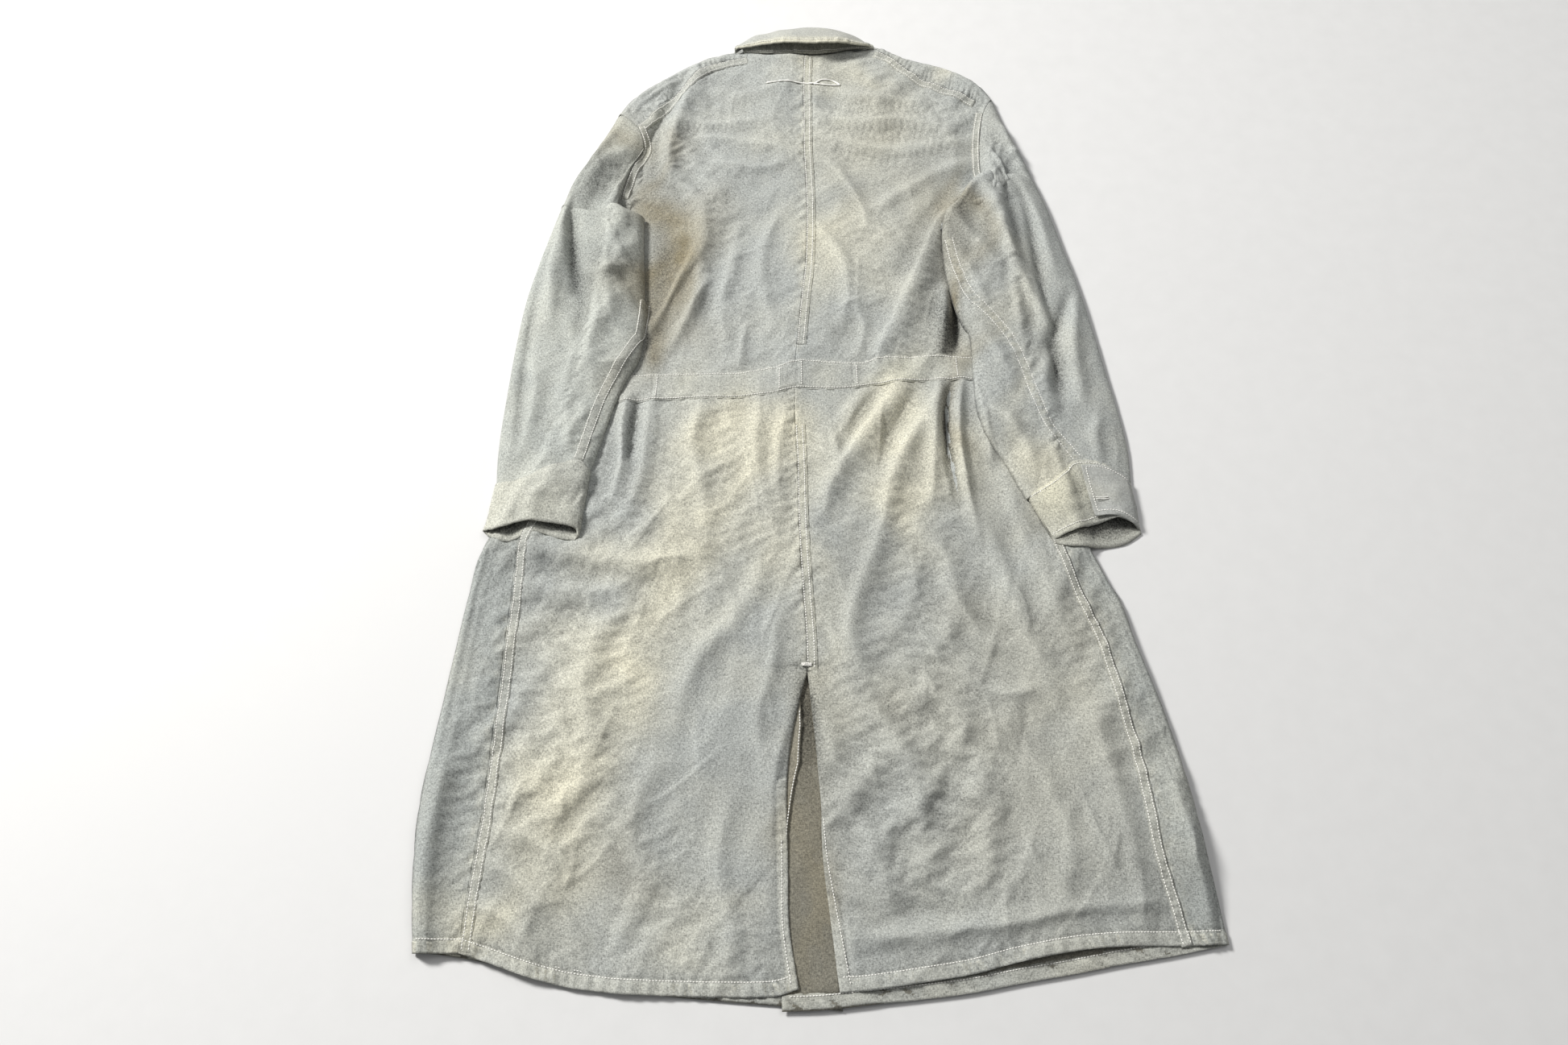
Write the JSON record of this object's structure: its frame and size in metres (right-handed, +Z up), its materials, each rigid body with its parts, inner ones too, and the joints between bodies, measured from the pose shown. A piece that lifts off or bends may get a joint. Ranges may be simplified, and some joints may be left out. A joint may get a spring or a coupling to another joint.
{
  "type": "artist's smock coat",
  "caption": "Long button-front work smock with turn-down collar, cuffed sleeves, sewn waistband and back vent, lying flat with its back upward.",
  "frame": {"origin": "middle of the outline's box, on the surface the smock lies on", "axes": "+X to the wearer's right, +Y from the hem towards the collar, +Z up, out of the back"},
  "size_m": [0.829, 1.2855, 0.0485],
  "materials": {
    "cloth": "heathered blue-grey cotton work cloth, sun-faded to a yellowish cream in patches",
    "sewn_cloth": "the same cloth in several layers, roped and worn pale along its edges",
    "buttons": "dull dark four-hole button",
    "thread": "off-white cotton thread",
    "label": "plain woven tape, blank"
  },
  "bodies": {
    "coat": {"back_waistband": "sewn_cloth", "breast_pocket": "cloth", "centre_back_seam": "sewn_cloth", "centre_skirt_seam": "sewn_cloth", "collar_points": "sewn_cloth", "collar_stand": "sewn_cloth", "front_buttons": "buttons", "left_armhole_seam": "sewn_cloth", "left_back_hem": "sewn_cloth", "left_back_pleat": "cloth", "left_back_skirt": "cloth", "left_back_upper": "cloth", "left_front_facing": "cloth", "left_front_hem": "sewn_cloth", "left_front_skirt": "cloth", "left_front_upper": "cloth", "left_front_waistband": "sewn_cloth", "left_lower_pocket": "cloth", "left_shoulder": "cloth", "left_shoulder_seam": "sewn_cloth", "left_side_seam": "sewn_cloth", "left_side_skirt": "cloth", "left_side_upper": "cloth", "neck_label": "label", "right_armhole_seam": "sewn_cloth", "right_back_hem": "sewn_cloth", "right_back_pleat": "cloth", "right_back_skirt": "cloth", "right_back_upper": "cloth", "right_front_facing": "cloth", "right_front_hem": "sewn_cloth", "right_front_skirt": "cloth", "right_front_upper": "cloth", "right_front_waistband": "sewn_cloth", "right_lower_pocket": "cloth", "right_shoulder": "cloth", "right_shoulder_seam": "sewn_cloth", "right_side_seam": "sewn_cloth", "right_side_skirt": "cloth", "right_side_upper": "cloth", "vent_bar_tack": "thread"},
    "collar_fall": {"collar_fall": "sewn_cloth"},
    "left_sleeve": {"left_sleeve_under": "cloth", "left_sleeve_over": "cloth", "left_sleeve_seam": "sewn_cloth", "left_cuff": "sewn_cloth", "left_cuff_button": "buttons"},
    "right_sleeve": {"right_sleeve_under": "cloth", "right_sleeve_over": "cloth", "right_sleeve_seam": "sewn_cloth", "right_cuff": "sewn_cloth", "right_cuff_button": "buttons"},
    "right_cuff_tab": {"right_cuff_tab": "sewn_cloth"},
    "left_vent_flap": {"left_vent_flap": "cloth", "left_vent_facing": "cloth"},
    "right_vent_flap": {"right_vent_flap": "cloth", "right_vent_facing": "cloth"}
  },
  "joints": [
    {"name": "left_sleeve_swing", "type": "hinge", "parent": "coat", "child": "left_sleeve", "pos_m": [-0.262, 0.492, 0.018], "axis": [0, 0, -1], "range_deg": [0, 40]},
    {"name": "right_sleeve_swing", "type": "hinge", "parent": "coat", "child": "right_sleeve", "pos_m": [0.257, 0.518, 0.018], "axis": [0, 0, 1], "range_deg": [0, 40]},
    {"name": "right_cuff_tab_lift", "type": "hinge", "parent": "right_sleeve", "child": "right_cuff_tab", "pos_m": [0.3805, -0.092, 0.0389], "axis": [0, 1, 0], "range_deg": [0, 100]},
    {"name": "collar_fall_turn", "type": "hinge", "parent": "coat", "child": "collar_fall", "pos_m": [0, 0.6424, 0.0186], "axis": [-1, 0, 0], "range_deg": [0, 150]},
    {"name": "left_vent_flap_turn", "type": "hinge", "parent": "coat", "child": "left_vent_flap", "pos_m": [-0.008, -0.2975, 0.0171], "axis": [-0.5454, -0.8381, 0], "range_deg": [0, 150]},
    {"name": "right_vent_flap_turn", "type": "hinge", "parent": "coat", "child": "right_vent_flap", "pos_m": [-0.006, -0.2975, 0.0171], "axis": [-0.5771, 0.8167, 0], "range_deg": [0, 150]}
  ]
}
